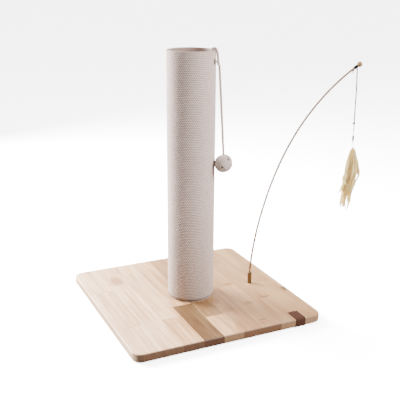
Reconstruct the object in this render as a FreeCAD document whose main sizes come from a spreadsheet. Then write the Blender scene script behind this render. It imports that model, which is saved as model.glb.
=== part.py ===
import FreeCAD, Part
import math
import os
import Sketcher

# A cat scratching post: a square board of glued wooden staves carries a rope-wrapped tube.
# A rope ball hangs on a cord from the tube's rim, and a springy wand stands in a brass
# socket, with a raffia tassel on a string, a ring and a swivel at its tip.
# Millimetres, +Z up. The origin is on the floor, under the middle of the board.

SIZES = [
    # the board
    ("board_side", 450, "side of the square board"),
    ("board_thickness", 18, "thickness of the board"),
    ("board_corner_radius", 22, "radius of the board's corners in plan"),
    ("board_edge_radius", 3, "round-over along the board's top and bottom edges"),
    ("edge_strip", 13.5, "what is left of the outer staves; nine equal ones lie between"),
    ("pad_diameter", 32, "stick-on anti-slip pad"),
    ("pad_thickness", 1.5, "pad, which lifts the board off the floor"),
    ("pad_inset", 42, "board's edge to the middle of a corner pad"),
    # the post
    ("tube_diameter", 101, "outside of the cardboard tube"),
    ("tube_wall", 4, "wall of the tube"),
    ("post_height", 573, "board's top to the tube's rim"),
    ("rope_diameter", 3.8, "cotton rope wound on the tube"),
    ("plug_thickness", 28, "wooden plug in the foot of the tube"),
    ("plug_play", 0.1, "radial gap between plug and tube, filled with glue"),
    ("screw_circle", 64, "circle of the screws that hold the plug"),
    ("screw_diameter", 4.5, "wood screw's thread"),
    ("screw_head", 9, "countersunk head"),
    ("screw_length", 40, "wood screw"),
    ("screw_sink", 0.4, "head's top below the board's underside"),
    ("screw_play", 0.3, "gap around the screw in the board"),
    ("nail_diameter", 1.6, "nail through the tube into the plug"),
    ("nail_length", 16, "nail"),
    ("nail_rise", 14, "board's top to the nails"),
    # the ball and its cord
    ("cord_diameter", 3.8, "cord that carries the ball"),
    ("cord_azimuth", -38, "degrees from +X to the hanging cord"),
    ("cord_hole", 6, "hole that the cord is threaded through"),
    ("cord_hole_azimuth", -46.5, "degrees from +X to the hole"),
    ("cord_hole_drop", 22.5, "rim to the hole"),
    ("cord_knot", 8, "knot in the cord"),
    ("cord_knot_drop", 27.5, "rim to the knot"),
    ("cord_knot_gap", 0.7, "knot to the rope"),
    ("ball_diameter", 40, "rope ball"),
    ("ball_core", 30, "wooden core of the ball"),
    ("ball_hole", 4.8, "way for the cord into the ball"),
    ("ball_drop", 251, "rim to the middle of the ball"),
    ("ball_gap", 0.3, "ball to the rope, at rest"),
    # the wand's foot
    ("wand_x", 156, "socket's place on the board"),
    ("wand_y", -8.6, "socket's place on the board"),
    ("bush_diameter", 9, "brass bush pressed into the board"),
    ("bush_depth", 15, "brass bush"),
    ("spigot_diameter", 6, "spigot under the ferrule"),
    ("spigot_length", 12, "spigot under the ferrule"),
    ("running_gap", 0.05, "radial gap of the spigot and of the rod's foot"),
    ("ferrule_diameter", 10.4, "ferrule"),
    ("ferrule_height", 28, "ferrule above the board"),
    ("ferrule_edge", 0.5, "bevel on the ferrule"),
    ("rod_seat", 20, "depth of the rod in the ferrule"),
    # the wand
    ("rod_diameter", 3.2, "springy rod"),
    ("root_length", 12, "short bend where the rod leaves the ferrule"),
    ("root_radius", 122, "radius of that bend"),
    ("lower_length", 138, "rod from that bend to the lower flex point"),
    ("middle_length", 125, "rod between the flex points"),
    ("lower_radius", 750, "bend of the lower and middle lengths"),
    ("upper_length", 322, "rod from the upper flex point to its tip"),
    ("upper_radius", 524, "bend of the upper length"),
    ("flex_gap", 0.3, "gap above the domed end at a flex point"),
    ("bead_diameter", 12.6, "wooden bead on the rod's tip"),
    ("whipping_diameter", 4.8, "thread wound over the rod"),
    ("whipping_length", 10, "thread wound over the rod"),
    ("whipping_back", 13, "bead's middle to the middle of the winding"),
    # the line and the lure
    ("string_diameter", 1, "black string"),
    ("string_gap", 0.6, "string's top to the winding it comes out of"),
    ("string_length", 136, "string's top to its knot"),
    ("line_knot", 3.6, "knot at the string's end"),
    ("leader_diameter", 0.8, "thin leader below the knot"),
    ("leader_length", 21.6, "leader, knot to ring"),
    ("ring_diameter", 7, "outside of the split ring"),
    ("ring_wire", 0.9, "wire of the ring"),
    ("barrel_diameter", 3.2, "swivel's barrel"),
    ("barrel_length", 13, "swivel's barrel"),
    ("eye_diameter", 4.8, "outside of the swivel's eyes"),
    ("eye_wire", 0.8, "wire of the eyes"),
    ("pin_diameter", 1.2, "swivel's turning pin"),
    ("pin_depth", 6, "pin inside the barrel"),
    ("snap_wire", 0.8, "wire of the snap"),
    ("snap_length", 12, "snap, between the middles of its ends"),
    ("snap_width", 5, "snap, between the middles of its wires"),
    ("binding_length", 6, "raffia wound round the head of the tassel"),
    ("binding_diameter", 11, "raffia wound round the head of the tassel"),
    ("tassel_length", 169, "tassel"),
    ("tassel_width", 35, "widest part of the tassel"),
    # the leather tag
    ("tag_x", 166.5, "middle of the tag, from the board's middle"),
    ("tag_width", 24, "leather tag"),
    ("tag_leather", 1.2, "thickness of the leather"),
    ("tag_top", 37, "tag on the top of the board"),
    ("tag_under", 14, "tag under the board"),
    ("tag_notch", 3.4, "depth of the two notches in the tag's end"),
]

STAVES = 9
SCREWS = 4
NAILS = 6
ARC_SHARE = 0.45

TOP = "(Sizes.pad_thickness + Sizes.board_thickness)"
RIM = f"({TOP} + Sizes.post_height)"
TUBE_INSIDE = "(Sizes.tube_diameter / 2 - Sizes.tube_wall)"
TUBE_OUTSIDE = "(Sizes.tube_diameter / 2)"
ROPE_OUTSIDE = "(Sizes.tube_diameter / 2 + Sizes.rope_diameter)"
BUSH_BORE = "(Sizes.spigot_diameter / 2 + Sizes.running_gap)"
HALF_BOARD = "(Sizes.board_side / 2)"
STAVE_WIDTH = f"((Sizes.board_side - 2 * Sizes.edge_strip) / {STAVES})"

Vector = FreeCAD.Vector
Rotation = FreeCAD.Rotation
Placement = FreeCAD.Placement
UP = Vector(0, 0, 1)
ALONG_X = Vector(1, 0, 0)
ALONG_Y = Vector(0, 1, 0)


def make_sheet(doc):
    """The spreadsheet of driving sizes: alias, value and what it is."""
    sheet = doc.addObject("Spreadsheet::Sheet", "Sizes")
    for row, (alias, value, note) in enumerate(SIZES, 1):
        sheet.set(f"A{row}", alias)
        sheet.set(f"B{row}", str(value))
        sheet.set(f"C{row}", note)
        sheet.setAlias(f"B{row}", alias)
    doc.recompute()
    return {alias: float(sheet.get(alias)) for alias, _, _ in SIZES}


# --- general makers -------------------------------------------------------------------


def add_sketch(body, name, role, lift="0"):
    """A sketch on one of the body's own origin planes, lifted off it along its normal."""
    sketch = body.newObject("Sketcher::SketchObject", name)
    plane = [item for item in body.Origin.OriginFeatures if item.Role == role][0]
    sketch.AttachmentSupport = [(plane, "")]
    sketch.MapMode = "FlatFace"
    sketch.setExpression("AttachmentOffset.Base.z", lift)
    return sketch


def hold_corner(sketch, line, x, y):
    """Hold the start of a line at x, y: on an axis where the size is 0."""
    for kind, axis, size in (("DistanceX", -2, x), ("DistanceY", -1, y)):
        if size == "0":
            sketch.addConstraint(Sketcher.Constraint("PointOnObject", line, 1, axis))
        else:
            row = sketch.addConstraint(Sketcher.Constraint(kind, -1, 1, line, 1, 1.0))
            sketch.setExpression(f"Constraints[{row}]", size)


def add_outline(sketch, corners):
    """A closed outline of straight lines through corners given as expressions."""
    first = sketch.GeometryCount
    count = len(corners)
    start = [
        Vector(50 * math.cos(2 * math.pi * i / count), 50 * math.sin(2 * math.pi * i / count), 0)
        for i in range(count)
    ]
    for i in range(count):
        sketch.addGeometry(Part.LineSegment(start[i], start[(i + 1) % count]))
    for i in range(count):
        link = Sketcher.Constraint("Coincident", first + i, 2, first + (i + 1) % count, 1)
        sketch.addConstraint(link)
    for i, (x, y) in enumerate(corners):
        hold_corner(sketch, first + i, x, y)


def turn_piece(doc, label, corners, place=("0", "0", "0")):
    """A turned piece: corners of radius and height, revolved about the piece's own Z axis."""
    body = doc.addObject("PartDesign::Body", label)
    sketch = add_sketch(body, label + "_profile", "XZ_Plane")
    add_outline(sketch, corners)
    turn = body.newObject("PartDesign::Revolution", label + "_turn")
    turn.Profile = sketch
    turn.ReferenceAxis = (sketch, ["V_Axis"])
    turn.Angle = 360
    for side, size in zip("xyz", place):
        body.setExpression(f"Placement.Base.{side}", size)
    return body


def round_edges(doc, body, name, radius, chosen):
    """Round those edges of the body that the test picks out."""
    doc.recompute()
    solid = body.Tip
    rounding = body.newObject("PartDesign::Fillet", name)
    edges = [f"Edge{i}" for i, edge in enumerate(solid.Shape.Edges, 1) if chosen(edge.BoundBox)]
    rounding.Base = (solid, edges)
    rounding.setExpression("Radius", radius)
    return rounding


def add_solid(doc, kind, label, place=("0", "0", "0"), turn=None, **sizes):
    """A Part primitive whose sizes and place are expressions."""
    solid = doc.addObject(kind, label)
    if turn:
        solid.Placement = Placement(Vector(), turn)
    for side, size in zip("xyz", place):
        solid.setExpression(f"Placement.Base.{side}", size)
    for name, size in sizes.items():
        solid.setExpression(name, size)
    return solid


def cut(doc, label, base, tools):
    """The base less the tools."""
    tool = tools[0]
    if len(tools) > 1:
        tool = doc.addObject("Part::MultiFuse", label + "_tools")
        tool.Shapes = tools
    result = doc.addObject("Part::Cut", label)
    result.Base = base
    result.Tool = tool
    return result


def group(doc, label, solids):
    """Separate solids that share one node."""
    result = doc.addObject("Part::Compound", label)
    result.Links = solids
    return result


def keep_shape(doc, label, shape):
    """A piece whose shape is worked out here, from sizes read from the sheet."""
    feature = doc.addObject("Part::Feature", label)
    feature.Shape = shape
    return feature


def round_route(points):
    """Straight runs between points, joined by tangent arcs as large as the runs allow."""
    edges = []
    radii = []
    last = points[0]
    for before, corner, after in zip(points, points[1:], points[2:]):
        back = before - corner
        ahead = after - corner
        reach = ARC_SHARE * min(back.Length, ahead.Length)
        half_turn = (math.pi - back.getAngle(ahead)) / 2
        radius = reach / math.tan(half_turn)
        back.normalize()
        ahead.normalize()
        inward = (back + ahead).normalize()
        middle = corner + inward * (radius / math.cos(half_turn) - radius)
        start = corner + back * reach
        end = corner + ahead * reach
        edges.append(Part.LineSegment(last, start).toShape())
        edges.append(Part.Arc(start, middle, end).toShape())
        radii.append(radius)
        last = end
    edges.append(Part.LineSegment(last, points[-1]).toShape())
    return Part.Wire(edges), radii


def sweep_tube(path, diameter):
    """A round tube, filled, along a path."""
    first = path.Edges[0]
    start = first.valueAt(first.FirstParameter)
    along = first.tangentAt(first.FirstParameter)
    ring = Part.Wire(Part.makeCircle(diameter / 2, start, along))
    return path.makePipeShell([ring], True, True)


def keep_cord(doc, label, points, diameter):
    """A cord's plain tube, with its radii and its volume against section times length."""
    path, radii = round_route(points)
    solid = sweep_tube(path, diameter)
    share = solid.Volume / (math.pi * diameter**2 / 4 * path.Length)
    print(label, "length", round(path.Length, 1), "radii", [round(r, 1) for r in radii], "volume", round(share, 4))
    return keep_shape(doc, label, solid)


def around_post(radius, degrees, height):
    """A point given by its distance from the post's axis, its azimuth and its height."""
    angle = math.radians(degrees)
    return Vector(radius * math.cos(angle), radius * math.sin(angle), height)


def polar(radius, degrees):
    """Expressions for x and y of a point given by radius and azimuth."""
    return f"{radius} * cos({degrees} * 1 deg)", f"{radius} * sin({degrees} * 1 deg)"


# --- the board ------------------------------------------------------------------------


def screw_corners(head, thread, length, floor):
    """Half the outline of a countersunk screw standing on its head."""
    rim = f"({head} / 9)"
    return [
        ("0", floor),
        (head, floor),
        (head, f"{floor} + {rim}"),
        (thread, f"{floor} + {rim} + {head} - {thread}"),
        (thread, f"{floor} + {length} - {thread} * 2"),
        ("0", f"{floor} + {length}"),
    ]


def screw_places():
    """Where the screws stand on their circle."""
    return [polar("Sizes.screw_circle / 2", f"{360 / SCREWS * i}") for i in range(SCREWS)]


def make_blank(doc, size):
    """The board in one piece, rounded, with the bush's hole and the screws' holes in it."""
    body = doc.addObject("PartDesign::Body", "board_blank")
    sketch = add_sketch(body, "board_plan", "XY_Plane", "Sizes.pad_thickness")
    low = "-" + HALF_BOARD
    add_outline(sketch, [(low, low), (HALF_BOARD, low), (HALF_BOARD, HALF_BOARD), (low, HALF_BOARD)])
    pad = body.newObject("PartDesign::Pad", "board_slab")
    pad.Profile = sketch
    pad.setExpression("Length", "Sizes.board_thickness")
    thick = size["board_thickness"]
    upright = lambda box: box.ZLength > thick - 0.01
    flat = lambda box: box.ZLength < 0.01
    round_edges(doc, body, "board_corners", "Sizes.board_corner_radius", upright)
    round_edges(doc, body, "board_edges", "Sizes.board_edge_radius", flat)

    bush_hole = add_solid(
        doc, "Part::Cylinder", "bush_hole",
        place=("Sizes.wand_x", "Sizes.wand_y", f"{TOP} - Sizes.bush_depth"),
        Radius="Sizes.bush_diameter / 2", Height="Sizes.bush_depth + 1",
    )
    head = "(Sizes.screw_head / 2 + Sizes.screw_play)"
    shank = "(Sizes.screw_diameter / 2 + Sizes.screw_play)"
    shaft_holes = []
    for number, (x, y) in enumerate(screw_places(), 1):
        corners = [
            ("0", "-1"),
            (head, "-1"),
            (head, "Sizes.screw_sink + 0.5"),
            (shank, f"Sizes.screw_sink + 0.5 + {head} - {shank}"),
            (shank, "Sizes.board_thickness + 1"),
            ("0", "Sizes.board_thickness + 1"),
        ]
        hole = turn_piece(doc, f"screw_hole_{number}", corners, (x, y, "Sizes.pad_thickness"))
        shaft_holes.append(hole)
    return cut(doc, "board_drilled", body, [bush_hole] + shaft_holes)


def make_staves(doc, size):
    """The board sawn into its glued staves, with a narrow strip left at each side."""
    blank = make_blank(doc, size)
    spans = {"edge_strip_left": (f"-{HALF_BOARD}", "Sizes.edge_strip")}
    for number in range(STAVES):
        start = f"{STAVE_WIDTH} * {number - STAVES / 2}"
        spans[f"base_stave_{number + 1}"] = (start, STAVE_WIDTH)
    spans["edge_strip_right"] = (f"{HALF_BOARD} - Sizes.edge_strip", "Sizes.edge_strip")
    staves = []
    for label, (start, width) in spans.items():
        bar = add_solid(
            doc, "Part::Box", label + "_span",
            place=(start, f"-{HALF_BOARD}", "Sizes.pad_thickness"),
            Length=width, Width="Sizes.board_side", Height="Sizes.board_thickness",
        )
        stave = doc.addObject("Part::Common", label)
        stave.Base = blank
        stave.Tool = bar
        staves.append(stave)
    return staves


def make_pads(doc):
    """A pad under each corner, and one under the post."""
    reach = f"({HALF_BOARD} - Sizes.pad_inset)"
    places = {
        "foot_pad_centre": ("0", "0"),
        "foot_pad_front_left": (f"-{reach}", f"-{reach}"),
        "foot_pad_front_right": (reach, f"-{reach}"),
        "foot_pad_back_right": (reach, reach),
        "foot_pad_back_left": (f"-{reach}", reach),
    }
    radius = "Sizes.pad_diameter / 2"
    corners = [("0", "0"), (radius, "0"), (radius, "Sizes.pad_thickness"), ("0", "Sizes.pad_thickness")]
    return [turn_piece(doc, label, corners, (x, y, "0")) for label, (x, y) in places.items()]


def make_tag(doc):
    """The leather strip folded over the board's front edge, with two notches in its end."""
    body = doc.addObject("PartDesign::Body", "leather_tag")
    side = add_sketch(body, "tag_side", "YZ_Plane", "Sizes.tag_x - Sizes.tag_width / 2")
    front = f"(-{HALF_BOARD})"
    end = f"({front} + Sizes.tag_top)"
    under = f"({front} + Sizes.tag_under)"
    low = "Sizes.pad_thickness"
    corners = [
        (end, TOP),
        (front, TOP),
        (front, low),
        (under, low),
        (under, f"{low} - Sizes.tag_leather"),
        (f"{front} - Sizes.tag_leather", f"{low} - Sizes.tag_leather"),
        (f"{front} - Sizes.tag_leather", f"{TOP} + Sizes.tag_leather"),
        (end, f"{TOP} + Sizes.tag_leather"),
    ]
    add_outline(side, corners)
    strip = body.newObject("PartDesign::Pad", "tag_strip")
    strip.Profile = side
    strip.setExpression("Length", "Sizes.tag_width")
    doc.recompute()
    box = strip.Shape.BoundBox
    leather = body.Document.Sizes.tag_leather

    def fold(bounds, y):
        return bounds.XLength > 1 and bounds.YLength < 0.01 and abs(bounds.YMin - y) < 0.01

    round_edges(doc, body, "tag_inner_folds", "Sizes.board_edge_radius", lambda b: fold(b, box.YMin + leather))
    outer = "Sizes.board_edge_radius + Sizes.tag_leather"
    round_edges(doc, body, "tag_outer_folds", outer, lambda b: fold(b, box.YMin))
    doc.recompute()
    before = body.Shape.Volume
    plan = add_sketch(body, "tag_notches", "XY_Plane", f"{TOP} + Sizes.tag_leather + 1")
    for hand in ("-", "+"):
        notch = [
            (f"Sizes.tag_x {hand} Sizes.tag_width / 2", end),
            (f"Sizes.tag_x {hand} Sizes.tag_width * 0.33", f"{end} - Sizes.tag_notch"),
            (f"Sizes.tag_x {hand} Sizes.tag_width * 0.27", end),
        ]
        add_outline(plan, notch)
    pocket = body.newObject("PartDesign::Pocket", "tag_end")
    pocket.Profile = plan
    pocket.Reversed = False
    pocket.setExpression("Length", "Sizes.tag_leather + 2")
    doc.recompute()
    print("tag notches take", round(before - body.Shape.Volume, 2), "mm3")
    return body


# --- the post -------------------------------------------------------------------------


def post_cutter(doc, label, diameter, degrees, height, start="0", length=ROPE_OUTSIDE + " + 5"):
    """A round cutter or pin that lies along a radius of the post."""
    turn = Rotation(UP, around_post(1, degrees, 0))
    x, y = polar(start, degrees)
    return add_solid(
        doc, "Part::Cylinder", label, place=(x, y, height), turn=turn,
        Radius=f"{diameter} / 2", Height=length,
    )


def make_post(doc, size):
    """Tube, rope, plug, and the screws and nails that hold them."""
    hole = post_cutter(
        doc, "cord_way", "Sizes.cord_hole", size["cord_hole_azimuth"], f"{RIM} - Sizes.cord_hole_drop"
    )
    nail_ways = []
    nails = []
    for number in range(NAILS):
        degrees = 360 / NAILS * number + 15
        height = f"{TOP} + Sizes.nail_rise"
        inner = f"({TUBE_OUTSIDE} - Sizes.nail_length - 0.05)"
        way = post_cutter(doc, f"nail_way_{number + 1}", "Sizes.nail_diameter", degrees, height, inner)
        nail = post_cutter(
            doc, f"nail_{number + 1}", "Sizes.nail_diameter", degrees, height, inner, "Sizes.nail_length"
        )
        nail_ways.append(way)
        nails.append(nail)

    def ring(inside, outside, bottom, top):
        return [(inside, bottom), (outside, bottom), (outside, top), (inside, top)]

    tube = turn_piece(doc, "tube_blank", ring(TUBE_INSIDE, TUBE_OUTSIDE, TOP, RIM))
    core_tube = cut(doc, "core_tube", tube, [hole] + nail_ways)

    wrap = turn_piece(doc, "wrap_blank", ring(TUBE_OUTSIDE, ROPE_OUTSIDE, TOP, RIM))
    doc.recompute()
    high = wrap.Shape.BoundBox.ZMax
    wide = wrap.Shape.BoundBox.XLength
    outer_rim = lambda box: abs(box.ZMin - high) < 0.01 and box.XLength > wide - 0.01
    round_edges(doc, wrap, "wrap_rim", "Sizes.rope_diameter / 2", outer_rim)
    rope_wrap = cut(doc, "rope_wrap", wrap, [hole])

    plug_radius = f"({TUBE_INSIDE} - Sizes.plug_play)"
    thread = "(Sizes.screw_diameter / 2)"
    corners = [("0", TOP), (plug_radius, TOP), (plug_radius, f"{TOP} + Sizes.plug_thickness")]
    corners.append(("0", f"{TOP} + Sizes.plug_thickness"))
    plug = turn_piece(doc, "plug_blank", corners)
    screws = []
    for number, (x, y) in enumerate(screw_places(), 1):
        floor = "(Sizes.pad_thickness + Sizes.screw_sink)"
        outline = screw_corners("(Sizes.screw_head / 2)", thread, "Sizes.screw_length", floor)
        screws.append(turn_piece(doc, f"screw_{number}", outline, (x, y, "0")))
    bottom_plug = cut(doc, "bottom_plug", plug, nail_ways + screws)
    return [core_tube, rope_wrap, bottom_plug, group(doc, "plug_screws", screws), group(doc, "tube_nails", nails)]


def make_ball(doc, size):
    """The cord's loop over the rim, its knot, the hanging cord and the ball."""
    rim = size["pad_thickness"] + size["board_thickness"] + size["post_height"]
    rope = size["tube_diameter"] / 2 + size["rope_diameter"]
    inside = size["tube_diameter"] / 2 - size["tube_wall"]
    cord = size["cord_diameter"]
    knot_radius = size["cord_knot"] / 2
    azimuth = size["cord_azimuth"]
    hole = size["cord_hole_azimuth"]
    outer_run = rope + cord / 2 + 0.2
    inner_run = inside - cord / 2 - 1.2
    over_rim = rim + 3.2
    hole_height = rim - size["cord_hole_drop"]
    knot_height = rim - size["cord_knot_drop"]
    knot_out = rope + size["cord_knot_gap"] + knot_radius

    loop = [
        around_post(outer_run, azimuth, knot_height + knot_radius + 0.6),
        around_post(outer_run, azimuth, over_rim),
        around_post(inner_run, azimuth - 1, over_rim),
        around_post(inner_run, hole, hole_height - 0.8),
        around_post(rope + 2.6, hole, hole_height),
        around_post(rope + 5.2, hole + 2.8, hole_height - 1.2),
        around_post(rope + 5.5, hole + 4.1, hole_height - 2.6),
    ]
    wall_loop = keep_cord(doc, "wall_loop", loop, cord)

    x, y = polar(f"({ROPE_OUTSIDE} + Sizes.cord_knot_gap + Sizes.cord_knot / 2)", "Sizes.cord_azimuth")
    knot_place = (x, y, f"{RIM} - Sizes.cord_knot_drop")
    knot = add_solid(doc, "Part::Sphere", "cord_knot", place=knot_place, Radius="Sizes.cord_knot / 2")

    ball_out = rope + size["ball_gap"] + size["ball_diameter"] / 2
    ball_height = rim - size["ball_drop"]
    cord_top = knot_height - knot_radius - 0.3
    cord_foot = ball_height + size["ball_core"] / 2 + 0.15
    hang = [
        around_post(knot_out + 1.6, azimuth, cord_top),
        around_post((knot_out + 1.6 + ball_out) / 2 + 0.8, azimuth, (cord_top + cord_foot) / 2),
        around_post(ball_out, azimuth, cord_foot),
    ]
    ball_cord = keep_cord(doc, "ball_cord", hang, cord)

    x, y = polar(f"({ROPE_OUTSIDE} + Sizes.ball_gap + Sizes.ball_diameter / 2)", "Sizes.cord_azimuth")
    middle = (x, y, f"{RIM} - Sizes.ball_drop")
    core = add_solid(doc, "Part::Sphere", "ball_core", place=middle, Radius="Sizes.ball_core / 2")
    skin = add_solid(doc, "Part::Sphere", "winding_blank", place=middle, Radius="Sizes.ball_diameter / 2")
    way = add_solid(
        doc, "Part::Cylinder", "winding_way", place=middle,
        Radius="Sizes.ball_hole / 2", Height="Sizes.ball_diameter",
    )
    winding = cut(doc, "ball_winding", skin, [core, way])
    return [wall_loop, knot, ball_cord, core, winding]


# --- the wand -------------------------------------------------------------------------


def make_foot(doc):
    """The brass bush in the board, and the ferrule whose spigot stands in it."""
    place = ("Sizes.wand_x", "Sizes.wand_y", TOP)
    wall = "Sizes.bush_diameter / 2"
    low = "-Sizes.bush_depth"
    bush = turn_piece(doc, "socket_bush", [(BUSH_BORE, low), (wall, low), (wall, "0"), (BUSH_BORE, "0")], place)
    spigot = "(Sizes.spigot_diameter / 2)"
    outside = "(Sizes.ferrule_diameter / 2)"
    edge = "Sizes.ferrule_edge"
    bore = "(Sizes.rod_diameter / 2 + Sizes.running_gap)"
    corners = [
        ("0", "-Sizes.spigot_length"),
        (f"{spigot} - {edge}", "-Sizes.spigot_length"),
        (spigot, f"-Sizes.spigot_length + {edge}"),
        (spigot, "0"),
        (outside, "0"),
        (outside, f"Sizes.ferrule_height - {edge}"),
        (f"{outside} - {edge}", "Sizes.ferrule_height"),
        (bore, "Sizes.ferrule_height"),
        (bore, "Sizes.ferrule_height - Sizes.rod_seat"),
        ("0", "Sizes.ferrule_height - Sizes.rod_seat"),
    ]
    return [bush, turn_piece(doc, "ferrule", corners, place)]


class Bend:
    """A point that travels along the rod in the wand's upright plane, leaning from the vertical."""

    def __init__(self, point, lean=0.0):
        self.point = point
        self.lean = lean

    def along(self):
        return Vector(math.sin(self.lean), 0, math.cos(self.lean))

    def inward(self):
        return Vector(math.cos(self.lean), 0, -math.sin(self.lean))

    def straight(self, length):
        start = self.point
        self.point = start + self.along() * length
        return Part.LineSegment(start, self.point).toShape()

    def arc(self, radius, length):
        centre = self.point + self.inward() * radius
        start = self.point
        self.lean += length / radius / 2
        middle = centre - self.inward() * radius
        self.lean += length / radius / 2
        self.point = centre - self.inward() * radius
        return Part.Arc(start, middle, self.point).toShape()


def make_wand(doc, size):
    """The rod in three lengths, so that it can flex, with its bead and thread winding."""
    top = size["pad_thickness"] + size["board_thickness"]
    width = size["rod_diameter"]
    foot = Vector(size["wand_x"], size["wand_y"], top + size["ferrule_height"] - size["rod_seat"])
    bend = Bend(foot)
    start_gap = width / 2 + size["flex_gap"]

    seat = bend.straight(size["rod_seat"])
    root = bend.arc(size["root_radius"], size["root_length"])
    rise = bend.arc(size["lower_radius"], size["lower_length"])
    lower = sweep_tube(Part.Wire([seat, root, rise]), width)
    lower = lower.fuse(Part.makeSphere(width / 2, bend.point)).removeSplitter()
    pivots = {"rod_flex_lower": Vector(bend.point)}

    bend.arc(size["lower_radius"], start_gap)
    rise = bend.arc(size["lower_radius"], size["middle_length"] - start_gap)
    middle = sweep_tube(Part.Wire([rise]), width)
    middle = middle.fuse(Part.makeSphere(width / 2, bend.point)).removeSplitter()
    pivots["rod_flex_upper"] = Vector(bend.point)

    bend.arc(size["upper_radius"], start_gap)
    rise = bend.arc(size["upper_radius"], size["upper_length"] - start_gap)
    upper = sweep_tube(Part.Wire([rise]), width)
    tip = Vector(bend.point)

    bead = Part.makeSphere(size["bead_diameter"] / 2, tip)
    back = Bend(tip, bend.lean)
    back.arc(size["upper_radius"], -size["whipping_back"])
    along = back.along()
    foot = back.point - along * (size["whipping_length"] / 2)
    sleeve = Part.makeCylinder(size["whipping_diameter"] / 2, size["whipping_length"], foot, along)

    mouth = Bend(back.point, back.lean)
    mouth.straight(size["whipping_length"] / 2 - size["string_diameter"])
    drop = size["whipping_diameter"] / 2 + size["string_gap"]
    pivots["line_swing"] = mouth.point + mouth.inward() * drop
    pieces = [
        keep_shape(doc, "rod_lower", lower),
        keep_shape(doc, "rod_middle", middle),
        keep_shape(doc, "rod_upper", upper),
        keep_shape(doc, "tip_bead", bead.cut(upper)),
        keep_shape(doc, "thread_whipping", sleeve.cut(upper)),
    ]
    return pieces, pivots


# --- the line and the lure ------------------------------------------------------------


def make_line(doc, size, top):
    """String, knot, leader and ring, down from the string's top."""

    def below(drop, aside=0.0):
        return Vector(top.x + aside, top.y, top.z - drop)

    length = size["string_length"]
    turns = [(0, 0), (0.22, 1.3), (0.42, 2.6), (0.68, 2.3), (1, 2.8)]
    string = [below(length * down, aside) for down, aside in turns]
    knot_radius = size["line_knot"] / 2
    knot_middle = below(length + knot_radius, 2.8)
    leader_top = length + 2 * knot_radius
    leader_foot = leader_top + size["leader_length"]
    leader = [below(leader_top, 2.8), below((leader_top + leader_foot) / 2, 3.2), below(leader_foot, 3)]
    ring_radius = (size["ring_diameter"] - size["ring_wire"]) / 2
    ring_middle = below(leader_foot + size["ring_diameter"] / 2, 3)
    ring = doc.addObject("Part::Torus", "line_ring")
    ring.setExpression("Radius1", "(Sizes.ring_diameter - Sizes.ring_wire) / 2")
    ring.setExpression("Radius2", "Sizes.ring_wire / 2")
    ring.Placement = Placement(ring_middle, Rotation(UP, ALONG_Y))
    pieces = [
        keep_cord(doc, "line_string", string, size["string_diameter"]),
        keep_shape(doc, "line_knot", Part.makeSphere(knot_radius, knot_middle)),
        keep_cord(doc, "line_leader", leader, size["leader_diameter"]),
        ring,
    ]
    return pieces, ring_middle - UP * ring_radius


def make_swivel(doc, size, hook):
    """The barrel that hangs in the ring, its turning pin, the snap, and the tassel."""
    eye = size["eye_diameter"] / 2 - size["eye_wire"] / 2
    wire = size["eye_wire"] / 2
    eye_middle = hook - UP * (eye - wire - size["ring_wire"] / 2 - 0.3)
    barrel_top = eye_middle - UP * eye
    barrel_foot = barrel_top - UP * size["barrel_length"]
    upper_eye = Part.makeTorus(eye, wire, eye_middle, ALONG_X)
    barrel = Part.makeCylinder(size["barrel_diameter"] / 2, size["barrel_length"], barrel_foot)
    pin_radius = size["pin_diameter"] / 2
    bore = Part.makeCylinder(pin_radius + size["running_gap"], size["pin_depth"] + 0.5, barrel_foot)
    barrel = barrel.cut(bore).fuse(upper_eye).removeSplitter()

    lower_eye_middle = barrel_foot - UP * (eye + 0.8)
    pin = Part.makeCylinder(pin_radius, size["pin_depth"] + 1.4, lower_eye_middle + UP * (eye - 0.6))
    pin = pin.fuse(Part.makeTorus(eye, wire, lower_eye_middle, ALONG_Y)).removeSplitter()

    half = size["snap_width"] / 2
    snap_top = lower_eye_middle - UP * (eye - wire - size["snap_wire"] / 2 - 0.3)
    snap_side = Vector(0, half, 0)
    upper = snap_top - UP * half
    lower = upper - UP * (size["snap_length"] - 2 * half)
    loop = [
        Part.Arc(upper - snap_side, snap_top, upper + snap_side).toShape(),
        Part.LineSegment(upper + snap_side, lower + snap_side).toShape(),
        Part.Arc(lower + snap_side, lower - UP * half, lower - snap_side).toShape(),
        Part.LineSegment(lower - snap_side, upper - snap_side).toShape(),
    ]
    snap = sweep_tube(Part.Wire(loop), size["snap_wire"])
    tassel_top = lower - UP * (half - size["snap_wire"] / 2 - 0.1)
    pieces = [
        keep_shape(doc, "swivel_barrel", barrel),
        keep_shape(doc, "swivel_pin", pin),
        keep_shape(doc, "snap_wire", snap),
    ]
    return pieces, barrel_foot, tassel_top


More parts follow.
